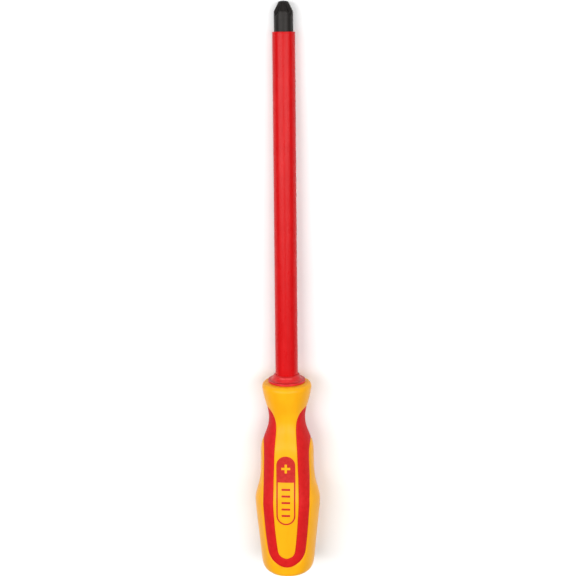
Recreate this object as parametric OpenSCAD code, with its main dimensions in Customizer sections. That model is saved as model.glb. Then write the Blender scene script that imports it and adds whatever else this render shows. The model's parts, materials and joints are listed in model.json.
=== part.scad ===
// Insulated cross-point screwdriver, lying at rest on its back with the blade towards +Y.
// Every piece is drawn upright, with the butt of the handle at z = 0, the point at the top
// and the badge facing -Y. lay_down() then puts the whole tool on the bench.

/* [Blade] */
// Diameter of the steel bar
blade_d = 10; // [9:0.5:10]
// Length from the front of the yellow handle to the point
blade_reach = 200; // [150:5:250]
// Bare steel left beyond the insulation
bare_length = 15.9; // [14:0.1:18]
// Taper of the point, measured from the axis
point_angle = 26.5; // [25:0.5:28]
// Radius of the blunt end of the point
point_end_r = 2.5; // [2.3:0.1:2.8]
// Half the thickness of each of the four wings at the end of the point
wing_half = 1.3; // [1.1:0.05:1.5]
// Radius of the wheel that grinds the four flutes
flute_wheel_r = 12; // [10:1:20]

/* [Insulation] */
// Outside diameter of the insulating sleeve
sleeve_d = 11.9; // [11.6:0.1:12.2]
// Length of sleeve held inside the handle
sleeve_buried = 28; // [22:1:32]

/* [Handle] */
// Length of the yellow body, from butt to front face
handle_length = 104; // [103:0.1:105]
// Diameter of the red collar at the mouth of the handle
collar_d = 19.7; // [19:0.1:20]
// Half the thickness of the handle over the middle of its resting pad
pad_half = 15.5; // [15.5:0.1:15.9]
// Length of that pad
pad_length = 10; // [6:1:12]
// How far the soft grip lies under the yellow surface
grip_recess = 0.15; // [0.1:0.05:0.5]
// Thickness of the soft grip
grip_thickness = 1.5; // [1:0.1:1.6]

/* [Badge] */
// Width of the oval badge
badge_w = 10; // [9:0.1:10.6]
// Length of the badge along the handle
badge_l = 36; // [34:0.1:38]
// Height of the badge's centre above the butt
badge_z = 49.8; // [49:0.1:51]
// Width of the rim line around the badge
badge_rim = 0.8; // [0.6:0.1:1]
// Length of the plain red field at the top of the badge
badge_field = 13.8; // [12:0.1:15]

/* [Hidden] */
$fn = 96;

blade_r = blade_d / 2;
sleeve_r = sleeve_d / 2;
collar_r = collar_d / 2;
sleeve_neck_r = sleeve_r - 0.25;      // turned down where the sleeve goes into the handle
tip_z = handle_length + blade_reach;
collar_z = handle_length + 4.1;       // top of the red collar
sleeve_neck_z = collar_z + 0.4;       // a fine gap is left between the collar and the full sleeve
sleeve_end_z = tip_z - bare_length;
sleeve_start_z = handle_length - sleeve_buried;
end_cone = 0.5;                       // height of the shallow cone that closes the point
cone_length = (blade_r - point_end_r) / tan(point_angle);

// Tang of the blade, inside the handle
tang_z = 20;                          // foot of the bar
tang_chamfer = 1.5;
ear_span = 15;                        // across a pair of pressed ears
ear_thick = 3.2;
ear_length = 12;
ear_z = [28, 45];                     // foot of each pair; the second pair is turned a quarter

// The tool lies on its pad and on the end of the sleeve, which sets the tilt
pad_z = 37;                           // middle of the pad, above the butt
tilt = atan((pad_half - sleeve_r) / (sleeve_end_z - pad_z));
lift = sleeve_end_z * sin(tilt) + sleeve_r * cos(tilt);
middle_y = tip_z * cos(tilt) / 2;

// Depths below the outer surface
grip_floor = grip_recess + grip_thickness;
badge_recess = 0.15;
badge_floor = 1.0;

// Half width of the handle against height, from the butt to the front edge: [half width, z]
side_line = [
    [0, 0], [6, 0.3], [9.6, 1], [11.95, 2.2], [13.2, 3.9], [13.85, 6.3], [14.25, 9.5],
    [14.65, 13.5], [15.2, 19], [15.95, 25.7], [16.5, 31], [17, 36], [17.2, 39.5], [17.1, 42],
    [16.35, 45.2], [15.5, 48], [14.85, 51], [14.4, 54.5], [14.15, 58.5], [14.05, 63], [14, 67.5],
    [13.5, 71], [12.4, 74], [11.2, 77], [10.2, 80], [9.7, 83], [9.65, 85.5], [10.1, 89],
    [10.95, 92], [11.95, 95.5], [12.65, 98.7], [13.05, 101], [13, 102], [12.7, 102.8],
    [12.1, 103.45], [11.2, 103.85], [10.2, 104]
];
// Half thickness of the handle where its front and back are flattened: [half thickness, z]
pad_drop = tan(tilt) * pad_length / 2;
face_line_low = [[12.2, -1], [13, 8], [13.9, 16], [14.8, 24],
    [pad_half + pad_drop, pad_z - pad_length / 2]];
face_line_high = [[pad_half - pad_drop, pad_z + pad_length / 2], [14.8, 49], [13.9, 56], [13.4, 62],
    [13.15, 67], [12.95, 71], [12.7, 75], [13.2, 80], [16, 86], [20, 91], [20, handle_length + 1]];

// Edges of the soft grip, seen from the front: [half width, z]. The inner edge frames the front
// panel and the outer edge frames the side fin, up to where the grip runs off round the neck.
grip_inner = [[11.5, 91.2], [10.3, 91.1], [9.2, 90.5], [7.75, 89.1], [6.6, 87.2], [5.95, 85.3], [5.5, 83],
    [5.45, 79.4], [5.7, 75.4], [6.05, 71.5], [6.25, 67], [6.4, 62], [6.65, 56], [6.8, 50.6], [6.85, 45.8],
    [6.8, 40.8], [6.4, 34.5], [6.05, 29.8], [5.5, 23.4], [5, 18.8], [4.65, 16.4], [4.2, 15], [3.4, 13.8],
    [2.4, 13], [1.3, 12.5], [0, 12.2]];
grip_outer = [[0, 7.2], [1.7, 7.4], [3.45, 8], [5.3, 9.1], [7.55, 10.9], [9, 12.8], [9.85, 14.8],
    [10.3, 17.2], [10.75, 21], [11.3, 26], [11.75, 31.5], [12.15, 36.5], [12.4, 40.5], [12.5, 43.8],
    [12.5, 49.1], [12.45, 54], [12.3, 60.5], [12.2, 65], [12.2, 67.5], [12.25, 69.6], [12.45, 71.4],
    [12.7, 72.6], [13.3, 73]];
grip_top_z = grip_inner[0][1];
fin_top_z = grip_outer[len(grip_outer) - 1][1];
beyond = 22;                          // wider than any part of the handle

// A point on the smooth curve through p1 and p2, with p0 and p3 as their neighbours
function on_curve(p0, p1, p2, p3, t) =
    (2 * p1 + (p2 - p0) * t + (2 * p0 - 5 * p1 + 4 * p2 - p3) * t * t
        + (3 * p1 - p0 - 3 * p2 + p3) * t * t * t) / 2;

// The smooth curve through all of pts, with n steps between one point and the next
function curve(pts, n) = [
    for (i = [0 : len(pts) - 2], k = [0 : n - 1])
        on_curve(pts[max(i - 1, 0)], pts[i], pts[i + 1], pts[min(i + 2, len(pts) - 1)], k / n),
    pts[len(pts) - 1]
];

// The same points moved towards the axis
function moved_in(pts, by) = [for (p = pts) [max(p[0] - by, 0), p[1]]];

function reversed(pts) = [for (i = [len(pts) - 1 : -1 : 0]) pts[i]];

// The left-hand twin of a right-hand edge, without the point that lies on the middle line
function twin(pts) = [for (p = pts) if (p[0] > 0) [-p[0], p[1]]];

// Puts an upright piece on the bench, back down
module lay_down() {
    translate([0, -middle_y, lift]) rotate([-90 - tilt, 0, 0]) children();
}

// Extrudes a front-view outline of [x, z] points through the whole depth of the tool
module through_depth() {
    rotate([90, 0, 0]) linear_extrude(height = 2 * beyond, center = true) children();
}

// ---------------------------------------------------------------- blade

module bar() {
    rotate_extrude() polygon([
        [0, tang_z], [blade_r - tang_chamfer, tang_z], [blade_r, tang_z + tang_chamfer],
        [blade_r, tip_z - end_cone - cone_length], [point_end_r, tip_z - end_cone], [0, tip_z]
    ]);
}

// Two pairs of ears pressed out of the bar, which keep it from turning in the handle
module ears() {
    for (i = [0, 1])
        translate([0, 0, ear_z[i]]) rotate([0, 0, 90 * i])
            translate([-ear_span / 2, -ear_thick / 2, 0]) cube([ear_span, ear_thick, ear_length]);
}

// The wheel that leaves a right-angled flute with its root on the line x = y = wing_half
module flute_wheel() {
    edge = 7;
    root = wing_half * sqrt(2);
    translate([root + flute_wheel_r, 0, tip_z]) rotate([90, 0, 0]) rotate_extrude()
        polygon([[flute_wheel_r - edge, -edge], [flute_wheel_r, 0], [flute_wheel_r - edge, edge]]);
}

module blade() {
    color("dimgray") difference() {
        union() {
            bar();
            ears();
        }
        for (a = [45 : 90 : 315]) rotate([0, 0, a]) flute_wheel();
    }
}

// ----------------------------------------------------------- insulation

module sleeve_outside() {
    edge = 0.3;
    rotate_extrude() polygon([
        [0, sleeve_start_z], [sleeve_neck_r, sleeve_start_z], [sleeve_neck_r, sleeve_neck_z],
        [sleeve_r, sleeve_neck_z], [sleeve_r, sleeve_end_z - edge], [sleeve_r - edge, sleeve_end_z],
        [0, sleeve_end_z]
    ]);
}

module blade_insulation() {
    color("crimson") difference() {
        sleeve_outside();
        translate([0, 0, sleeve_start_z - 1]) cylinder(r = blade_r, h = tip_z);
    }
}

// --------------------------------------------------------------- handle

// Outside of the hard red core: gate boss at the butt, thick middle, thin neck, coved collar
module core_outside() {
    boss_r = 4.5;
    boss_sink = 0.5;                  // depth of the boss's end below the butt
    middle_r = 8.5;
    neck_r = 7;
    seat_r = 8.6;
    rib = [2.4, 2, 48];               // one of the four ribs that lock the core in the body
    top = handle_length;
    rim = [[collar_r, top], [collar_r, top + 0.9], [collar_r - 0.3, top + 1.2]];
    bead = [[6.8, collar_z - 0.4], [6.3, collar_z - 0.05]];
    cove = curve([[7, top + 3.2], [7.3, top + 2.4], [7.7, top + 1.8], [8.2, top + 1.4],
                  [8.8, top + 1.2]], 3);
    rotate_extrude() polygon(concat(
        [[0, boss_sink], [boss_r, boss_sink], [boss_r, 4], [middle_r, 7], [middle_r, 62], [neck_r, 70],
         [neck_r, 96], [seat_r, 100], [seat_r, top]],
        rim, reversed(cove), bead, [[sleeve_neck_r, collar_z], [0, collar_z]]));
    for (a = [45 : 90 : 315])
        rotate([0, 0, a]) translate([middle_r - 1, -rib[1] / 2, 10]) cube(rib);
}

module handle_core() {
    color("firebrick") difference() {
        core_outside();
        sleeve_outside();
        bar();
        ears();
    }
}

// The handle's solid shape: a turned body with its front and back flattened, "inset" deep
module handle_shape(inset = 0) {
    side = concat([[0, inset]], moved_in(curve(side_line, 3), inset),
                  [[collar_r, handle_length], [0, handle_length]]);
    face = concat(curve(face_line_low, 3), curve(face_line_high, 3));
    intersection() {
        rotate_extrude() polygon(side);
        rotate([90, 0, 90]) linear_extrude(height = 2 * beyond, center = true)
            polygon(concat([for (p = face) [p[0] - inset, p[1]]],
                           [for (p = reversed(face)) [inset - p[0], p[1]]]));
    }
}

// Where the soft grip lies, cut straight through from front to back
module grip_zone() {
    inner = curve(grip_inner, 3);
    outer = curve(grip_outer, 3);
    ends = [[beyond, fin_top_z], [beyond, grip_top_z]];
    through_depth()
        polygon(concat(inner, twin(reversed(inner)), twin(reversed(ends)), twin(reversed(outer)),
                       outer, ends));
}

// Outline of a badge, grown or shrunk by "grow"
module oval(grow = 0) {
    r = badge_w / 2 + grow;
    straight = badge_l / 2 - badge_w / 2;
    translate([0, badge_z]) {
        square([2 * r, 2 * straight], center = true);
        for (s = [-1, 1]) translate([0, s * straight]) circle(r = r);
    }
}

module ring_outline() {
    difference() {
        oval();
        oval(-badge_rim);
    }
}

// The cross sign of a cross-point driver, set in the red field
module cross_sign() {
    arm = 2.3;
    width = 1.2;
    drop = 6.6;                       // from the top of the badge to the middle of the cross
    translate([0, badge_z + badge_l / 2 - drop]) {
        square([2 * arm, width], center = true);
        square([width, 2 * arm], center = true);
    }
}

// Five plain bars in the lower field
module field_bars() {
    bar_size = [4.6, 1.1];
    pitch = 3.4;
    first_z = badge_z - badge_l / 2 + 5;
    for (i = [0 : 4]) translate([0, first_z + pitch * i]) square(bar_size, center = true);
}

module front_mark() {
    field_z = badge_z + badge_l / 2 - badge_field;
    ring_outline();
    difference() {
        intersection() {
            oval(-badge_rim / 2);
            translate([-badge_w, field_z]) square([2 * badge_w, badge_l]);
        }
        cross_sign();
    }
    field_bars();
}

module back_mark() {
    ring_outline();
}

// The half space in front of (-1) or behind (1) the axis
module half_depth(side) {
    translate([-beyond, side > 0 ? 0 : -2 * beyond, -1]) cube([2 * beyond, 2 * beyond, tip_z]);
}

module mark_zone(side) {
    intersection() {
        half_depth(side);
        through_depth() children();
    }
}

module handle_body() {
    color("orange") difference() {
        handle_shape();
        difference() {
            grip_zone();
            handle_shape(grip_floor);
        }
        difference() {
            union() {
                mark_zone(-1) front_mark();
                mark_zone(1) back_mark();
            }
            handle_shape(badge_floor);
        }
        core_outside();
    }
}

module soft_grip() {
    color("crimson") difference() {
        intersection() {
            grip_zone();
            handle_shape(grip_recess);
        }
        handle_shape(grip_floor);
    }
}

module badge(side) {
    color("firebrick") difference() {
        intersection() {
            mark_zone(side) children();
            handle_shape(badge_recess);
        }
        handle_shape(badge_floor);
    }
}

lay_down() blade();
lay_down() blade_insulation();
lay_down() handle_core();
lay_down() handle_body();
lay_down() soft_grip();
lay_down() badge(-1) front_mark();  // front_badge
lay_down() badge(1) back_mark();  // back_badge
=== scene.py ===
import json
import math
import bmesh
import bpy
import numpy as np
from mathutils import Matrix, Vector


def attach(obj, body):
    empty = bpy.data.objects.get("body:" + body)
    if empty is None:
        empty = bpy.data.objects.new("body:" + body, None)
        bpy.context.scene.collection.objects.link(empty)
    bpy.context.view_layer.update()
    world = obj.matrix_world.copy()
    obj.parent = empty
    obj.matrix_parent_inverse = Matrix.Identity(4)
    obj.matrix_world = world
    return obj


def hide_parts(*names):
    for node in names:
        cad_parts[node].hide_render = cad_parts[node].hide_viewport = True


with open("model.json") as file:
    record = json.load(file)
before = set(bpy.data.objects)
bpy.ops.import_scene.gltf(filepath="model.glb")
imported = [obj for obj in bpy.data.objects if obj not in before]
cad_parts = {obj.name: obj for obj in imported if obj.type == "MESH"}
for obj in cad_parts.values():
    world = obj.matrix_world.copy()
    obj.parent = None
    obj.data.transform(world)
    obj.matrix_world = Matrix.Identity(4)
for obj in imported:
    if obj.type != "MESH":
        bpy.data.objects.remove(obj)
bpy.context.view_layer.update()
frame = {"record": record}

# How the tool lies. It rests on the back of its handle and on the end of its sleeve, so it dips a
# little towards the point. Each piece is worked out in millimetres along the tool's own directions:
# across it, up through the badge, and along it from the butt of the handle to the point.
MM = 0.001
TOOL_LENGTH = 304
point_mount = next(m for m in frame["record"]["mounts"] if m["name"] == "drive_tip")
ACROSS = Vector((1, 0, 0))
ALONG = Vector(point_mount["axis"]).normalized()
UP = ACROSS.cross(ALONG)
BUTT = Vector(point_mount["pos_m"]) - TOOL_LENGTH * MM * ALONG


def place(across, up, along):
    return BUTT + ACROSS * float(across * MM) + UP * float(up * MM) + ALONG * float(along * MM)


# ------------------------------------------------------------------ the blade
# One round bar of chrome-vanadium steel with a size 4 cross point: a cone with four flutes ground
# into it, which leave four wings. It is hardened and black phosphated. Two pairs of ears pressed
# out of its hidden end keep it from turning. Its tip stays a hair inside the design's.
BAR_R = 5
TANG = 20
POINT_END_R = 2.5
CROWN = 0.5
POINT_ANGLE = math.radians(26.5)
WING_HALF = 1.3
WHEEL_R = 12
EAR_REACH, EAR_HALF, EAR_LENGTH = 7.5, 1.6, 12
EAR_FEET = ((28, 0), (45, math.pi / 2))
BLADE_TIP = TOOL_LENGTH - 0.01
POINT_RUN, POINT_STEP = 14, 0.2
CORNER_EASE, FLUTE_EASE = 0.08, 0.05
ROOT_EASE, ROOT_LIFT = 0.02, 0.1
FOOT_CHAMFER, EAR_SLOPE, EARS_END = 1.5, 1.5, 60


def soft_min(values, ease):
    """The least of several values, with the corner between them rounded by about "ease"."""
    least = min(values)
    return least - ease * math.log(sum(math.exp((least - v) / ease) for v in values))


def bar_radius(along):
    """Radius of the bar before the flutes are ground, with a chamfered foot and a crowned end."""
    to_end = BLADE_TIP - along
    if to_end <= CROWN:
        return POINT_END_R * math.sqrt(max(to_end / CROWN, 0))
    cone = POINT_END_R + (to_end - CROWN) * math.tan(POINT_ANGLE)
    foot = BAR_R - FOOT_CHAMFER + (along - TANG)
    return soft_min((BAR_R, cone, foot), CORNER_EASE)


def flute_radius(angle, along):
    """How far from the axis the nearest flute's wall stands, looking out at this angle."""
    to_end = TOOL_LENGTH - along
    if to_end >= WHEEL_R:
        return 2 * BAR_R
    root = WING_HALF * math.sqrt(2) + WHEEL_R - math.sqrt(WHEEL_R ** 2 - to_end ** 2)
    off = (angle % (math.pi / 2)) - math.pi / 4
    rounded = math.sqrt(math.sin(off) ** 2 + ROOT_EASE)
    return root / max(math.cos(off) - rounded + ROOT_LIFT, 0.05)


def ear_radius(angle, along):
    """Reach of the pressed ears, which stand out on two sides of the tang."""
    reach = 0
    for foot, turn in EAR_FEET:
        side = abs(along - foot - EAR_LENGTH / 2) - EAR_LENGTH / 2
        swell = BAR_R + (EAR_REACH - BAR_R) * min(max(-side / EAR_SLOPE, 0), 1)
        width = EAR_HALF / max(abs(math.sin(angle - turn)), 0.01)
        reach = max(reach, min(swell / max(abs(math.cos(angle - turn)), 0.01), width))
    return reach


def grid_faces(rows, columns, round_and_round=False):
    """Quads between points laid out row by row."""
    faces = []
    for r in range(rows - 1):
        for c in range(columns if round_and_round else columns - 1):
            d = (c + 1) % columns
            faces.append((r * columns + c, r * columns + d, (r + 1) * columns + d, (r + 1) * columns + c))
    return faces


def make_piece(name, points, faces, material, nodes, crease=40):
    """A mesh object from points in tool millimetres, riding on the tool in place of CAD nodes."""
    mesh = bpy.data.meshes.new(name)
    mesh.from_pydata([place(*p) for p in points], [], faces)
    work = bmesh.new()
    work.from_mesh(mesh)
    bmesh.ops.remove_doubles(work, verts=work.verts, dist=0.002 * MM)
    bmesh.ops.dissolve_degenerate(work, edges=work.edges, dist=0.001 * MM)
    bmesh.ops.recalc_face_normals(work, faces=work.faces)
    work.to_mesh(mesh)
    work.free()
    mesh.materials.append(material)
    mesh.shade_smooth()
    mesh.set_sharp_from_angle(angle=math.radians(crease))
    piece = bpy.data.objects.new(name, mesh)
    bpy.context.collection.objects.link(piece)
    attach(piece, "root")
    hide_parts(*nodes)
    return piece


def new_material(name):
    """A material with its Principled shader, and a short way to add and join nodes."""
    material = bpy.data.materials.new(name)
    material.use_nodes = True
    tree = material.node_tree
    shader = next(n for n in tree.nodes if n.type == "BSDF_PRINCIPLED")

    def add(kind, settings=None, **sockets):
        made = tree.nodes.new("ShaderNode" + kind)
        for key, value in (settings or {}).items():
            setattr(made, key, value)
        for key, value in sockets.items():
            socket = made.inputs[int(key[1:]) if key[0] == "_" else key.replace("_", " ")]
            if isinstance(value, bpy.types.NodeSocket):
                tree.links.new(value, socket)
            else:
                socket.default_value = value
        return made

    return material, shader, add, tree.links.new


def tool_space(add, along_stretch=1.0):
    """Texture space in metres that runs with the tool, drawn out along it if along_stretch > 1."""
    tilt = math.asin(-ALONG.z)
    turned_back = add("Mapping", Vector=add("TexCoord").outputs["Object"], Rotation=(tilt, 0, 0))
    return add("Mapping", Vector=turned_back.outputs[0], Scale=(1, 1 / along_stretch, 1)).outputs[0]


def blotches(add, space, size, low, high, detail=4.0):
    """Noise with features of about "size" millimetres, spread between two values."""
    noise = add("TexNoise", Vector=space, Scale=1 / (size * MM), Detail=detail, Roughness=0.55)
    spread = add("MapRange", Value=noise.outputs["Fac"],
                 From_Min=0.3, From_Max=0.7, To_Min=low, To_Max=high)
    return spread.outputs[0]


def tone(add, amount, dark, light):
    """A colour between two others."""
    mix = add("Mix", {"data_type": "RGBA"}, _0=amount)
    mix.inputs["A"].default_value = (*dark, 1)
    mix.inputs["B"].default_value = (*light, 1)
    return mix


def phosphated_steel():
    material, shader, add, join = new_material("phosphated_steel")
    grain = blotches(add, tool_space(add), 0.25, 0, 1, detail=6)
    body = tone(add, grain, (0.0090, 0.0076, 0.0066), (0.0180, 0.0150, 0.0130))
    # The sharpest edges are painted paler steel: a painted highlight where light catches the wing edges,
    # together with wear through the black coating.
    edge = add("MapRange", Value=add("NewGeometry").outputs["Pointiness"],
               From_Min=0.54, From_Max=0.64, To_Min=0.0, To_Max=0.25)
    wear_and_highlight = add("Mix", {"data_type": "RGBA"}, _0=edge.outputs[0])
    wear_and_highlight.inputs["B"].default_value = (0.16, 0.145, 0.135, 1)
    join(body.outputs["Result"], wear_and_highlight.inputs["A"])
    join(wear_and_highlight.outputs["Result"], shader.inputs["Base Color"])
    join(blotches(add, tool_space(add), 0.6, 0.36, 0.52), shader.inputs["Roughness"])
    shader.inputs["Metallic"].default_value = 0.3
    shader.inputs["Specular IOR Level"].default_value = 0.25
    scratches = add("TexNoise", Vector=tool_space(add, 0.08), Scale=420, Detail=5)
    relief = add("Bump", Strength=0.35, Distance=0.00006, Height=scratches.outputs["Fac"])
    join(relief.outputs[0], shader.inputs["Normal"])
    return material


def build_blade():
    spokes = 240
    stops = [TANG, TANG + 0.8, TANG + 1.6, 24, 27.9]
    for foot, _ in EAR_FEET:
        stops += [foot + EAR_LENGTH * k / 12 for k in range(13)]
    stops += [62, 100, 180, 260, 285]
    close_rows = int((POINT_RUN - CROWN) / POINT_STEP) + 1
    stops += [BLADE_TIP - POINT_RUN + POINT_STEP * k for k in range(close_rows)]
    stops += [BLADE_TIP - CROWN * (1 - k / 10) ** 2 for k in range(11)]
    stops = sorted(set(round(s, 4) for s in stops))
    points = []
    for along in stops:
        for s in range(spokes):
            angle = 2 * math.pi * s / spokes
            limits = (bar_radius(along), flute_radius(angle, along))
            radius = max(soft_min(limits, FLUTE_EASE) if limits[1] < 1.6 * BAR_R else limits[0], 0)
            radius = max(radius, ear_radius(angle, along)) if along < EARS_END else radius
            points.append((radius * math.sin(angle), radius * math.cos(angle), along))
    faces = grid_faces(len(stops), spokes, round_and_round=True)
    faces.append(tuple(range(spokes)))
    make_piece("blade_steel", points, faces, phosphated_steel(), ["blade"], crease=50)


build_blade()

# ------------------------------------------------- the insulation on the blade
# A thick red plastic tube pushed over the bar and cut square 16 mm short of the point. It is
# slightly uneven along its length, has a satin skin, and is turned down where the handle grips it.
SLEEVE_R = 5.95
SLEEVE_NECK_R = SLEEVE_R - 0.25
SLEEVE_START = 76
COLLAR_TOP = 108.1
SLEEVE_NECK_END = COLLAR_TOP - 0.05
SLEEVE_END = TOOL_LENGTH - 15.9
SLEEVE_BORE = BAR_R + 0.01
SLEEVE_RINGS = 24
NECK_EASE, END_EASE = 0.12, 0.32


def turned(line, spokes=128):
    """Points and faces of a turned shape whose section is a closed line of (radius, along)."""
    points = [(r * math.sin(2 * math.pi * s / spokes), r * math.cos(2 * math.pi * s / spokes), a)
              for r, a in line + line[:1] for s in range(spokes)]
    return points, grid_faces(len(line) + 1, spokes, round_and_round=True)


def eased(line, radius, steps=4):
    """The same line with each inner corner cut to a small curve."""
    out = [line[0]]
    for before, corner, after in zip(line, line[1:], line[2:]):
        ends = []
        for other in (before, after):
            span = math.dist(corner, other)
            cut = min(radius, span / 2.2) / span
            ends.append([c + (o - c) * cut for c, o in zip(corner, other)])
        for k in range(steps + 1):
            t = k / steps
            out.append(tuple((1 - t) ** 2 * p + 2 * t * (1 - t) * c + t * t * q
                             for p, c, q in zip(ends[0], corner, ends[1])))
    return out + [line[-1]]


def satin_red_tube():
    material, shader, add, join = new_material("insulation_red")
    drawn = tool_space(add, 14)
    lengthwise = blotches(add, drawn, 1.6, 0, 1)
    cloud = blotches(add, tool_space(add), 9, 0, 1, detail=2)
    both = add("Math", {"operation": "MULTIPLY"}, _0=lengthwise, _1=cloud)
    colour = tone(add, both.outputs[0], (0.545, 0.0042, 0.0056), (0.620, 0.0078, 0.0092))
    join(colour.outputs["Result"], shader.inputs["Base Color"])
    join(blotches(add, tool_space(add, 4), 2.5, 0.24, 0.33), shader.inputs["Roughness"])
    waves = add("TexNoise", Vector=tool_space(add, 2.5), Scale=210, Detail=2)
    lumps = add("Bump", Strength=0.5, Distance=0.00010, Height=waves.outputs["Fac"])
    streaks = add("TexNoise", Vector=drawn, Scale=1500, Detail=3)
    fine = add("Bump", Strength=0.25, Distance=0.00003, Height=streaks.outputs["Fac"],
               Normal=lumps.outputs[0])
    join(fine.outputs[0], shader.inputs["Normal"])
    shader.inputs["Specular IOR Level"].default_value = 0.12
    return material


def build_sleeve():
    full = SLEEVE_END - SLEEVE_NECK_END
    line = eased([(SLEEVE_BORE, SLEEVE_START), (SLEEVE_NECK_R, SLEEVE_START),
                  (SLEEVE_NECK_R, SLEEVE_NECK_END), (SLEEVE_R, SLEEVE_NECK_END),
                  (SLEEVE_R, SLEEVE_NECK_END + 4)], NECK_EASE)
    line += [(SLEEVE_R, SLEEVE_NECK_END + full * k / SLEEVE_RINGS) for k in range(2, SLEEVE_RINGS)]
    line += eased([(SLEEVE_R, SLEEVE_END - 2), (SLEEVE_R, SLEEVE_END), (SLEEVE_BORE, SLEEVE_END),
                   (SLEEVE_BORE, SLEEVE_END - 6)], END_EASE)
    points, faces = turned(line)
    make_piece("insulation_sleeve", points, faces, satin_red_tube(), ["blade_insulation"])


build_sleeve()

# ------------------------------------------------------ the handle's red core
# A hard red moulding shot round the blade's tang. It shows at the mouth of the handle as a dished
# collar with a bead round the sleeve, and at the butt as the small disc where the plastic went in.
HANDLE_LENGTH = 104
COLLAR_R = 9.85
SEAT_R = 8.6
CORE_R, CORE_NECK_R = 8.5, 7
BOSS_R, BOSS_SINK = 4.5, 0.5
FIT = 0.02
RIM_EASE = 0.3
CORE_SKIN = [(BOSS_R, 4), (CORE_R, 7), (CORE_R, 62), (CORE_NECK_R, 70), (CORE_NECK_R, 96),
             (SEAT_R, 100), (SEAT_R, HANDLE_LENGTH)]


def smooth(points, steps=6, before=None, after=None):
    """A smooth curve through all the points; "before" and "after" set how it starts and ends."""
    run = [before or points[0], *points, after or points[-1]]
    out = []
    for p0, p1, p2, p3 in zip(run, run[1:], run[2:], run[3:]):
        for k in range(steps):
            t = k / steps
            out.append(tuple(
                (2 * b + (c - a) * t + (2 * a - 5 * b + 4 * c - d) * t * t
                 + (3 * b - a - 3 * c + d) * t ** 3) / 2
                for a, b, c, d in zip(p0, p1, p2, p3)))
    return out + [tuple(points[-1])]


def satin_red_core():
    material, shader, add, join = new_material("core_red")
    cloud = blotches(add, tool_space(add), 3, 0, 1)
    colour = tone(add, cloud, (0.560, 0.0160, 0.0180), (0.650, 0.0240, 0.0250))
    join(colour.outputs["Result"], shader.inputs["Base Color"])
    join(blotches(add, tool_space(add), 1.2, 0.26, 0.38), shader.inputs["Roughness"])
    peel = add("TexNoise", Vector=tool_space(add), Scale=1400, Detail=2)
    relief = add("Bump", Strength=0.3, Distance=0.00003, Height=peel.outputs["Fac"])
    join(relief.outputs[0], shader.inputs["Normal"])
    shader.inputs["Specular IOR Level"].default_value = 0.22
    return material


def build_core():
    top = HANDLE_LENGTH
    rim_inside = (9.35, top + 1.2)
    dish = smooth([rim_inside, (8.8, top + 1.2), (8.2, top + 1.4), (7.7, top + 1.8),
                   (7.35, top + 2.3), (7.1, top + 2.85), (7, top + 3.25)], 4)
    bead = smooth([(7, top + 3.25), (6.9, top + 3.6), (6.6, top + 3.9), (6.25, top + 4.05),
                   (SLEEVE_R + FIT, COLLAR_TOP)], 3)
    rim = eased([(SEAT_R, top), (COLLAR_R, top), (COLLAR_R, top + 1.2), rim_inside], RIM_EASE)
    inner = [(SLEEVE_NECK_R + FIT, SLEEVE_START), (BAR_R + FIT, SLEEVE_START), (BAR_R + FIT, TANG), (0, TANG)]
    butt = eased([(0, BOSS_SINK), (BOSS_R, BOSS_SINK), (BOSS_R, 4)], RIM_EASE)
    line = butt + CORE_SKIN[1:-1] + rim[:-1] + dish + bead[1:] + inner
    points, faces = turned(line, 112)
    make_piece("handle_core_red", points, faces, satin_red_core(), ["handle_core"], crease=45)


build_core()

# --------------------------------------------------- the handle's yellow body
# A hard yellow moulding over the core: a round head and neck, a flattened front and back panel,
# and a fin down each side. The soft grip is moulded into the channels between them. The lines
# give the distance from the axis, or for the grip the degrees round from the badge, and the place along.
SIDE_LINE = [(0, 0), (6, 0.3), (9.6, 1), (11.95, 2.2), (13.2, 3.9), (13.85, 6.3), (14.25, 9.5),
             (14.65, 13.5), (15.2, 19), (15.95, 25.7), (16.5, 31), (17, 36), (17.2, 39.5), (17.1, 42),
             (16.35, 45.2), (15.5, 48), (14.85, 51), (14.4, 54.5), (14.15, 58.5), (14.05, 63),
             (14, 67.5), (13.5, 71), (12.4, 74), (11.2, 77), (10.2, 80), (9.7, 83), (9.65, 85.5),
             (10.1, 89), (10.95, 92), (11.95, 95.5), (12.65, 98.7), (13.05, 101), (13, 102),
             (12.7, 102.8), (12.1, 103.45), (11.2, 103.85), (10.2, 104)]
FACE_LINE = [(12.2, -1), (13, 8), (13.9, 16), (14.8, 24), (15.65, 32), (15.3, 42), (14.8, 49),
             (13.9, 56), (13.4, 62), (13.15, 67), (12.95, 71), (12.7, 75), (13.2, 80), (16, 86),
             (20, 91), (20, 120)]
GRIP_INNER = [(0, 12.2), (5.5, 12.5), (10, 13), (14.1, 13.8), (17.3, 15), (18.8, 16.4), (19.8, 18.8),
              (21, 23.4), (22.1, 29.8), (22.8, 34.5), (24.2, 40.8), (25.5, 45.8), (27.1, 50.6),
              (27.9, 56), (27.3, 62), (26.8, 67), (27, 71.5), (28.9, 75.4), (31.8, 79.4), (34.7, 83),
              (38, 85.3), (42.4, 87.2), (50, 89.1), (61, 90.5), (75, 91.1), (90, 91.2)]
GRIP_OUTER = [(0, 7.2), (7.5, 7.4), (15, 8), (22.5, 9.1), (31.8, 10.9), (38, 12.8), (41.7, 14.8),
              (43.3, 17.2), (44.3, 21), (45, 26), (45.3, 31.5), (45.4, 36.5), (46.2, 40.5),
              (48.2, 43.8), (51.6, 46.6), (55.2, 49.1), (58.3, 52.2), (60.4, 56), (60.8, 60.5),
              (60.2, 64.5), (60.6, 67.5), (62.8, 69.6), (68.5, 71.4), (78, 72.6), (90, 73)]
SECTION_EASE = 0.6
SHAVE = 0.005
CURVE_STEPS = 150
PANEL_COLUMNS, FIN_COLUMNS, CHANNEL_COLUMNS = 20, 20, 12
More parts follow.
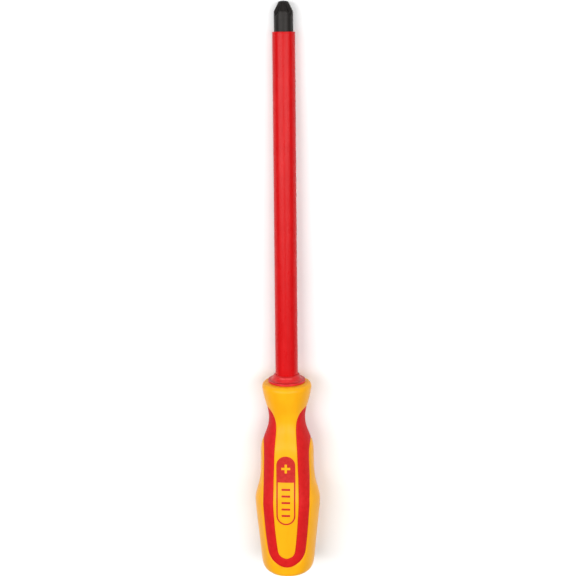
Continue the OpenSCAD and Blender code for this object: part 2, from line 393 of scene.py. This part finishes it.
HEAD_LEVEL, BUTT_LEVEL = 98.7, 5
LEVELLING_ROWS = 7
FIN_FOOT = 11
BOSS_GAP = 0.4
ROUND_BEYOND = 6
CHANNEL_DEPTH = 1.65
LIP = [(0.95, 0), (0.6, 0.02), (0.36, 0.07), (0.18, 0.17), (0.06, 0.32), (0, 0.5)]

side_curve, face_curve = smooth(SIDE_LINE), smooth(FACE_LINE)
side_widths, side_places = np.array(side_curve).T
face_heights, face_places = np.array(face_curve).T


def width_at(along):
    return float(np.interp(along, side_places, side_widths))


def face_at(along):
    return float(np.interp(along, face_places, face_heights))


def skin(angle, along, sunk=0.0, radius=None):
    """Point on the handle's surface, shaved a hair; angle 0 is the badge side, 90 the side fin."""
    side = width_at(along) if radius is None else radius
    flat = face_at(along) / max(math.cos(math.radians(angle)), 0.001)
    reach = soft_min((side, flat), SECTION_EASE) if flat < side + ROUND_BEYOND else side
    reach = max(reach - sunk - SHAVE, 0)
    return reach * math.sin(math.radians(angle)), reach * math.cos(math.radians(angle)), along


def even_run(points, count):
    """A grip edge, smooth and level where it crosses the middle and the side, in even steps."""
    first, last = points[1], points[-2]
    run = smooth(points, 12, before=(-first[0], first[1]), after=(180 - last[0], last[1]))
    travel = [0]
    for p, q in zip(run, run[1:]):
        span = math.radians(q[0] - p[0]) * width_at(p[1])
        travel.append(travel[-1] + math.hypot(span, q[1] - p[1]))
    marks = np.linspace(0, travel[-1], count + 1)
    angles, places = zip(*run)
    return list(zip(np.interp(marks, travel, angles), np.interp(marks, travel, places)))


def beside(run, by):
    """The same edge moved "by" millimetres to its left, over the handle's surface."""
    out = []
    for i, (angle, along) in enumerate(run):
        p, q = run[max(i - 1, 0)], run[min(i + 1, len(run) - 1)]
        wide = width_at(along)
        step = (math.radians(q[0] - p[0]) * wide, q[1] - p[1])
        if i in (0, len(run) - 1):
            step = (1, 0)
        size = math.hypot(*step)
        out.append((angle - math.degrees(step[1] / size * by / wide), along + step[0] / size * by))
    return out


def quarters(rows_of_points):
    """Faces and points of one quarter of the handle, mirrored to all four."""
    rows, columns = len(rows_of_points), len(rows_of_points[0])
    points, faces = [], []
    for right, front in ((1, 1), (-1, 1), (-1, -1), (1, -1)):
        start = len(points)
        points += [(x * right, h * front, a) for row in rows_of_points for x, h, a in row]
        faces += [tuple(start + i for i in face) for face in grid_faces(rows, columns)]
    return points, faces


def join_parts(*parts):
    """Several sets of points and faces as one."""
    points, faces = [], []
    for more, ring in parts:
        faces += [tuple(len(points) + i for i in face) for face in ring]
        points += more
    return points, faces


inner_edge = even_run(GRIP_INNER, CURVE_STEPS)
outer_edge = even_run(GRIP_OUTER, CURVE_STEPS)


def columns_over(count):
    """Even steps from 0 to 1 across "count" columns of faces."""
    return np.linspace(0, 1, count + 1)


def levelled(along_row, level, columns):
    """Rows of points that lead a wavy row of places over to one level, round a quarter turn."""
    rows = []
    for t in np.linspace(0, 1, LEVELLING_ROWS):
        rows.append([skin(90 * u, a + (level - a) * t) for u, a in zip(columns, along_row)])
    return rows


def panel_rows():
    """The front panel and the head, from the grip's inner edge to the mouth of the handle."""
    columns = columns_over(PANEL_COLUMNS)
    edge = beside(inner_edge, LIP[0][0])
    foot, shoulder = edge[0][1], edge[-1][1] + 3
    rows = []
    for i, (angle, along) in enumerate(edge):
        middle = foot + (shoulder - foot) * (i / CURVE_STEPS)
        ladder = [beside(inner_edge, d)[i] for d, _ in LIP[1:]]
        row = [skin(angle * u, middle + (along - middle) * u * u) for u in columns]
        rows.append(row + [skin(*spot, sunk=drop) for spot, (_, drop) in zip(ladder, LIP[1:])])
    last = [p[2] for p in rows[-1][: PANEL_COLUMNS + 1]]
    head = levelled(last, HEAD_LEVEL, columns)
    for radius, along in side_curve:
        if along > HEAD_LEVEL + 0.01:
            head.append([skin(90 * u, along, radius=radius) for u in columns])
    return rows, head


def fin_rows():
    """The side fin and the butt, from the grip's outer edge to the hole for the core's boss."""
    columns = columns_over(FIN_COLUMNS)
    edge = beside(outer_edge, -LIP[0][0])
    top = edge[-1][1]
    rows = []
    for i, (angle, along) in enumerate(edge):
        side = FIN_FOOT + (top - FIN_FOOT) * (i / CURVE_STEPS)
        ladder = [beside(outer_edge, -d)[i] for d, _ in LIP[1:]]
        row = [skin(angle + (90 - angle) * u, side + (along - side) * (1 - u) ** 2) for u in columns]
        lip = [skin(*spot, sunk=drop) for spot, (_, drop) in zip(ladder, LIP[1:])]
        rows.append(lip[::-1] + row)
    first = [p[2] for p in rows[0][len(LIP) - 1:]]
    butt = levelled(first, BUTT_LEVEL, columns)
    for radius, along in reversed(side_curve):
        if along < BUTT_LEVEL - 0.01 and radius > BOSS_R + BOSS_GAP:
            butt.append([skin(90 * u, along, radius=radius) for u in columns])
    return rows, butt


def between(p, q, u, sunk):
    """A point on the handle part of the way from one edge point to another."""
    return skin(p[0] + (q[0] - p[0]) * u, p[1] + (q[1] - p[1]) * u, sunk=sunk)


def channel_rows(sunk, gap=0.0):
    """The floor under the soft grip, from its inner to its outer edge."""
    near, far = beside(inner_edge, -gap), beside(outer_edge, gap)
    across = np.linspace(0, 1, CHANNEL_COLUMNS)
    return [[between(p, q, u, sunk) for u in across] for p, q in zip(near, far)]


def glossy_yellow():
    material, shader, add, join = new_material("handle_yellow")
    flow = blotches(add, tool_space(add, 3), 7, 0, 1, detail=3)
    colour = tone(add, flow, (0.850, 0.370, 0.0062), (0.920, 0.420, 0.0090))
    # Hollow creases, such as the grooves beside the soft grip, are painted a darker orange: painted shade in
    # the creases.
    crease = add("MapRange", Value=add("NewGeometry").outputs["Pointiness"],
                 From_Min=0.40, From_Max=0.49, To_Min=0.55, To_Max=0.0)
    painted_crease_shade = add("Mix", {"data_type": "RGBA"}, _0=crease.outputs[0])
    painted_crease_shade.inputs["B"].default_value = (0.55, 0.16, 0.012, 1)
    join(colour.outputs["Result"], painted_crease_shade.inputs["A"])
    join(painted_crease_shade.outputs["Result"], shader.inputs["Base Color"])
    join(blotches(add, tool_space(add), 1.5, 0.27, 0.37), shader.inputs["Roughness"])
    peel = add("TexNoise", Vector=tool_space(add), Scale=900, Detail=2)
    sink = add("TexNoise", Vector=tool_space(add), Scale=120, Detail=1)
    soft = add("Bump", Strength=0.35, Distance=0.00012, Height=sink.outputs["Fac"])
    relief = add("Bump", Strength=0.25, Distance=0.00003, Height=peel.outputs["Fac"],
                 Normal=soft.outputs[0])
    join(relief.outputs[0], shader.inputs["Normal"])
    shader.inputs["Specular IOR Level"].default_value = 0.12
    return material


def build_body():
    panel, head = panel_rows()
    fins, butt = fin_rows()
    floor = channel_rows(CHANNEL_DEPTH)
    wall_in = [[row[-1], floor_row[0]] for row, floor_row in zip(panel, floor)]
    wall_out = [[floor_row[-1], row[0]] for row, floor_row in zip(fins, floor)]
    mouth, foot = head[-1], butt[-1]
    turns = [math.radians(90 * u) for u in columns_over(PANEL_COLUMNS)]
    bore = [(BOSS_R + FIT, foot[0][2] + 0.05)] + CORE_SKIN
    lining = [mouth]
    for radius, along in reversed(bore):
        wide = radius + FIT
        lining.append([(wide * math.sin(t), wide * math.cos(t), along) for t in turns])
    lining.append(foot)
    parts = [quarters(rows) for rows in (panel, head, fins, butt, floor, wall_in, wall_out, lining)]
    points, faces = join_parts(*parts)
    return make_piece("handle_body_yellow", points, faces, glossy_yellow(),
                      ["handle_body"], crease=60)


body = build_body()

# ------------------------------------------------------------- the soft grip
# Soft red thermoplastic rubber moulded into the body's channels in one shot: a U round the front
# panel and a U round the back panel, which meet round the sides of the neck.
GRIP_LIP = [(0.04, 0.52), (0.12, 0.33), (0.26, 0.20), (0.46, 0.12), (0.75, 0.07), (1.1, 0.04)]
GRIP_COLUMNS = 10
GRIP_SINK, GRIP_FIT = 0.02, 0.03


def soft_red():
    material, shader, add, join = new_material("grip_red")
    cloud = blotches(add, tool_space(add), 2.2, 0, 1)
    colour = tone(add, cloud, (0.560, 0.0090, 0.0100), (0.630, 0.0135, 0.0135))
    # Hollow creases are painted a darker red: painted shade in the creases.
    crease = add("MapRange", Value=add("NewGeometry").outputs["Pointiness"],
                 From_Min=0.38, From_Max=0.49, To_Min=0.6, To_Max=0.0)
    shade = add("Mix", {"data_type": "RGBA"}, _0=crease.outputs[0])
    shade.inputs["B"].default_value = (0.30, 0.008, 0.006, 1)
    join(colour.outputs["Result"], shade.inputs["A"])
    join(shade.outputs["Result"], shader.inputs["Base Color"])
    join(blotches(add, tool_space(add), 0.8, 0.46, 0.60), shader.inputs["Roughness"])
    leather = add("TexVoronoi", Vector=tool_space(add), Scale=2600)
    relief = add("Bump", Strength=0.22, Distance=0.00005, Height=leather.outputs["Distance"])
    join(relief.outputs[0], shader.inputs["Normal"])
    shader.inputs["Specular IOR Level"].default_value = 0.1
    return material


def build_grip():
    near = [beside(inner_edge, -d) for d, _ in GRIP_LIP]
    far = [beside(outer_edge, d) for d, _ in GRIP_LIP]
    drops = [drop for _, drop in GRIP_LIP]
    rows = []
    for i in range(CURVE_STEPS + 1):
        row = [skin(*edge[i], sunk=drop) for edge, drop in zip(near, drops)]
        row += [between(near[-1][i], far[-1][i], u, GRIP_SINK) for u in columns_over(GRIP_COLUMNS)[1:-1]]
        lip = [skin(*edge[i], sunk=drop) for edge, drop in zip(far, drops)]
        rows.append(row + lip[::-1])
    under = channel_rows(CHANNEL_DEPTH - GRIP_FIT, gap=GRIP_LIP[0][0])
    ends = [[row[0], below[0]] for row, below in zip(rows, under)]
    outs = [[row[-1], below[-1]] for row, below in zip(rows, under)]
    points, faces = join_parts(*(quarters(part) for part in (rows, under, ends, outs)))
    make_piece("soft_grip_red", points, faces, soft_red(), ["soft_grip"], crease=60)


build_grip()

# ----------------------------------------------------------------- the badges
# Red inlays set in the front and back panels. The front one has a red field with a plain cross,
# for a cross-point driver, over five plain bars. The back one is only the oval line.
BADGE_W, BADGE_L, BADGE_MIDDLE = 10, 36, 49.8
BADGE_RIM = 0.8
BADGE_FIELD = 13.8
BADGE_SUNK, BADGE_FLOOR = 0.04, 1.0
SLIVER = 0.004
CROSS_ARM, CROSS_WIDTH, CROSS_DROP = 2.3, 1.2, 6.6
BAR_COUNT, BAR_WIDE, BAR_TALL, BAR_PITCH = 5, 4.6, 1.1, 3.4
BAR_START, BAR_CORNER = 5, 0.3
SLAB_HALF, SLAB_COLUMNS, SLAB_ROWS, SLAB_MARGIN = 6, 25, 82, 2
CUT_FROM, CUT_TO, POCKET_RISE = 8, 22, 1.5


def oval(shrink=0.0):
    """Outline of the badge, shrunk or not, as (across, along) points."""
    radius = BADGE_W / 2 - shrink
    reach = (BADGE_L - BADGE_W) / 2
    turn = [math.pi * k / 24 for k in range(25)]
    top = [(radius * math.cos(t), BADGE_MIDDLE + reach + radius * math.sin(t)) for t in turn]
    return top + [(-x, 2 * BADGE_MIDDLE - a) for x, a in top]


def box_outline(middle, wide, tall, corner):
    """A small rectangle with round corners."""
    out = []
    for sx, sa, begin in ((1, 1, 0), (-1, 1, 90), (-1, -1, 180), (1, -1, 270)):
        for k in range(4):
            t = math.radians(begin + 30 * k)
            out.append((sx * (wide / 2 - corner) + corner * math.cos(t),
                        middle + sa * (tall / 2 - corner) + corner * math.sin(t)))
    return out


def cross_outline(middle):
    arm, half = CROSS_ARM, CROSS_WIDTH / 2
    steps = [(arm, half), (half, half), (half, arm)]
    out = []
    for quarter in range(4):
        turn = math.radians(90 * quarter)
        for x, a in steps:
            out.append((x * math.cos(turn) - a * math.sin(turn),
                        middle + x * math.sin(turn) + a * math.cos(turn)))
    return out


def lower_window(field_foot):
    """The opening below the red field: straight on top, round at the bottom."""
    line = oval(BADGE_RIM)
    low = [p for p in line if p[1] < BADGE_MIDDLE]
    return [(-low[0][0], field_foot), *[(-x, a) for x, a in low], (-low[-1][0], field_foot)]


def prism(outline_groups, low, high):
    """A solid through the panel for each group of outlines: the first is its edge, the rest holes."""
    work = bmesh.new()
    for group in outline_groups:
        edges = []
        for line in group:
            verts = [work.verts.new(place(x, low, a)) for x, a in line]
            edges += [work.edges.new(pair) for pair in zip(verts, verts[1:] + verts[:1])]
        bmesh.ops.triangle_fill(work, use_beauty=True, edges=edges)
    faces = list(work.faces)
    raised = bmesh.ops.extrude_face_region(work, geom=faces)
    moved = [g for g in raised["geom"] if isinstance(g, bmesh.types.BMVert)]
    bmesh.ops.translate(work, verts=moved, vec=UP * MM * (high - low))
    bmesh.ops.recalc_face_normals(work, faces=work.faces)
    mesh = bpy.data.meshes.new("cutter")
    work.to_mesh(mesh)
    work.free()
    return mesh


def panel_slab(front, above, below):
    """A slab that follows the front or back panel, from "above" the surface to "below" it."""
    xs = np.linspace(-SLAB_HALF, SLAB_HALF, SLAB_COLUMNS)
    reach = BADGE_L / 2 + SLAB_MARGIN
    runs = np.linspace(BADGE_MIDDLE - reach, BADGE_MIDDLE + reach, SLAB_ROWS)
    points, faces = [], []
    for lift in (above, -below):
        start = len(points)
        for a in runs:
            for x in xs:
                angle = math.degrees(math.atan2(abs(x), face_at(a)))
                points.append((x, front * (skin(angle, a)[1] + lift), a))
        ring = grid_faces(len(runs), len(xs))
        faces += [tuple(start + i for i in face) for face in ring]
    rows, columns, half = len(runs), len(xs), len(runs) * len(xs)
    rim = list(range(columns))
    rim += [r * columns + columns - 1 for r in range(1, rows)]
    rim += [(rows - 1) * columns + c for c in range(columns - 2, -1, -1)]
    rim += [r * columns for r in range(rows - 2, 0, -1)]
    faces += [(p, q, q + half, p + half) for p, q in zip(rim, rim[1:] + rim[:1])]
    return points, faces


def carve(piece, cutter_mesh, operation):
    """Cuts a piece with another mesh and keeps the result, without the slivers a cut leaves."""
    cutter = bpy.data.objects.new("cutter", cutter_mesh)
    bpy.context.collection.objects.link(cutter)
    step = piece.modifiers.new("cut", "BOOLEAN")
    step.object, step.operation, step.solver = cutter, operation, "EXACT"
    result = bpy.data.meshes.new_from_object(piece.evaluated_get(bpy.context.evaluated_depsgraph_get()))
    work = bmesh.new()
    work.from_mesh(result)
    bmesh.ops.triangulate(work, faces=work.faces)
    bmesh.ops.remove_doubles(work, verts=work.verts, dist=SLIVER * MM)
    bmesh.ops.dissolve_degenerate(work, edges=work.edges, dist=SLIVER * MM)
    work.to_mesh(result)
    work.free()
    piece.modifiers.clear()
    piece.data = result
    bpy.data.objects.remove(cutter)


def inlay_red():
    material, shader, add, join = new_material("badge_red")
    cloud = blotches(add, tool_space(add), 1.5, 0, 1)
    colour = tone(add, cloud, (0.48, 0.016, 0.014), (0.57, 0.027, 0.020))
    join(colour.outputs["Result"], shader.inputs["Base Color"])
    join(blotches(add, tool_space(add), 0.8, 0.36, 0.48), shader.inputs["Roughness"])
    peel = add("TexNoise", Vector=tool_space(add), Scale=1800, Detail=2)
    relief = add("Bump", Strength=0.3, Distance=0.00003, Height=peel.outputs["Fac"])
    join(relief.outputs[0], shader.inputs["Normal"])
    shader.inputs["Specular IOR Level"].default_value = 0.12
    return material


def build_badge(name, front, groups, material, node):
    low, high = sorted((front * CUT_FROM, front * CUT_TO))
    points, faces = panel_slab(front, -BADGE_SUNK, BADGE_FLOOR - FIT)
    inlay = make_piece(name, points, faces, material, [node], crease=30)
    carve(inlay, prism(groups, low, high), "INTERSECT")
    points, faces = panel_slab(front, POCKET_RISE, BADGE_FLOOR)
    pocket = bpy.data.meshes.new("pocket")
    pocket.from_pydata([place(*p) for p in points], [], faces)
    work = bmesh.new()
    work.from_mesh(pocket)
    bmesh.ops.recalc_face_normals(work, faces=work.faces)
    work.to_mesh(pocket)
    work.free()
    scrap = bpy.data.objects.new("scrap", pocket)
    bpy.context.collection.objects.link(scrap)
    carve(scrap, prism(groups, low, high), "INTERSECT")
    carve(body, scrap.data, "DIFFERENCE")
    bpy.data.objects.remove(scrap)
    inlay.data.shade_smooth()
    inlay.data.set_sharp_from_angle(angle=math.radians(30))


def build_badges():
    field_foot = BADGE_MIDDLE + BADGE_L / 2 - BADGE_FIELD
    cross_middle = BADGE_MIDDLE + BADGE_L / 2 - CROSS_DROP
    first_bar = BADGE_MIDDLE - BADGE_L / 2 + BAR_START
    ring = [oval(), lower_window(field_foot), cross_outline(cross_middle)]
    bars = [[box_outline(first_bar + BAR_PITCH * k, BAR_WIDE, BAR_TALL, BAR_CORNER)]
            for k in range(BAR_COUNT)]
    red = inlay_red()
    build_badge("front_badge_inlay", 1, [ring] + bars, red, "front_badge")
    build_badge("back_badge_inlay", -1, [[oval(), oval(BADGE_RIM)]], red, "back_badge")
    body.data.shade_smooth()
    body.data.set_sharp_from_angle(angle=math.radians(40))


build_badges()

# ------------------------------------------------- the bench, lights and camera
# A plain pale bench top, two wide soft lights high on either side, a weak one beyond the point, and
# a camera high above the point that looks almost straight down on the tool as it lies.
BENCH_SIZE = 6.0
CAMERA_ALONG, CAMERA_HEIGHT = TOOL_LENGTH - 20, 560
CAMERA_ROUND = math.radians(3.8)
CAMERA_PITCH = math.radians(5.3)
CAMERA_ROLL = math.radians(0.5)
CAMERA_ASIDE = 1.78
LENS, SHIFT = 67.75, -0.2565


def pale_bench():
    material, shader, add, join = new_material("pale_bench")
    colour = tone(add, blotches(add, tool_space(add), 40, 0, 1), (0.92, 0.92, 0.915), (0.95, 0.95, 0.945))
    join(colour.outputs["Result"], shader.inputs["Base Color"])
    shader.inputs["Roughness"].default_value = 0.85
    mesh = bpy.data.meshes.new("bench")
    half = BENCH_SIZE / 2
    corners = [(-half, -half, 0), (half, -half, 0), (half, half, 0), (-half, half, 0)]
    mesh.from_pydata(corners, [], [(0, 1, 2, 3)])
    mesh.materials.append(material)
    bench = bpy.data.objects.new("bench", mesh)
    bpy.context.collection.objects.link(bench)


def soft_light(name, power, size, spot, aim):
    data = bpy.data.lights.new(name, "AREA")
    data.shape, data.energy = "RECTANGLE", power
    data.size, data.size_y = size
    light = bpy.data.objects.new(name, data)
    light.location = spot
    light.rotation_mode = "QUATERNION"
    light.rotation_quaternion = (Vector(aim) - Vector(spot)).to_track_quat("-Z", "Y")
    bpy.context.collection.objects.link(light)


def set_camera():
    data = bpy.data.cameras.new("camera")
    data.lens, data.sensor_width, data.shift_y = LENS, 36, SHIFT
    data.clip_start = 0.01
    out = UP * math.cos(CAMERA_ROUND) + ACROSS * math.sin(CAMERA_ROUND)
    right = ACROSS * math.cos(CAMERA_ROUND) - UP * math.sin(CAMERA_ROUND)
    top = ALONG * math.cos(CAMERA_PITCH) - out * math.sin(CAMERA_PITCH)
    back = out * math.cos(CAMERA_PITCH) + ALONG * math.sin(CAMERA_PITCH)
    turned_right = right * math.cos(CAMERA_ROLL) - top * math.sin(CAMERA_ROLL)
    turned_top = top * math.cos(CAMERA_ROLL) + right * math.sin(CAMERA_ROLL)
    spot = BUTT + MM * (CAMERA_ALONG * ALONG + CAMERA_HEIGHT * out + CAMERA_ASIDE * right)
    camera = bpy.data.objects.new("camera", data)
    axes = Matrix((turned_right, turned_top, back)).transposed().to_4x4()
    camera.matrix_world = Matrix.Translation(spot) @ axes
    bpy.context.collection.objects.link(camera)
    bpy.context.scene.camera = camera


pale_bench()
soft_light("left_light", 13.2, (0.56, 1.2), (-0.67, 0.11, 1.11), (0, 0, 0))
soft_light("right_light", 12.8, (0.56, 1.2), (0.59, 0.11, 1.16), (0, 0, 0))
soft_light("front_light", 1.5, (0.8, 0.3), (0, 0.95, 0.62), (0, 0, 0))
set_camera()

world = bpy.data.worlds.new("world")
world.use_nodes = True
world.node_tree.nodes["Background"].inputs["Color"].default_value = (1, 1, 1, 1)
world.node_tree.nodes["Background"].inputs["Strength"].default_value = 0.10
bpy.context.scene.world = world
bpy.context.scene.view_settings.view_transform = "Standard"
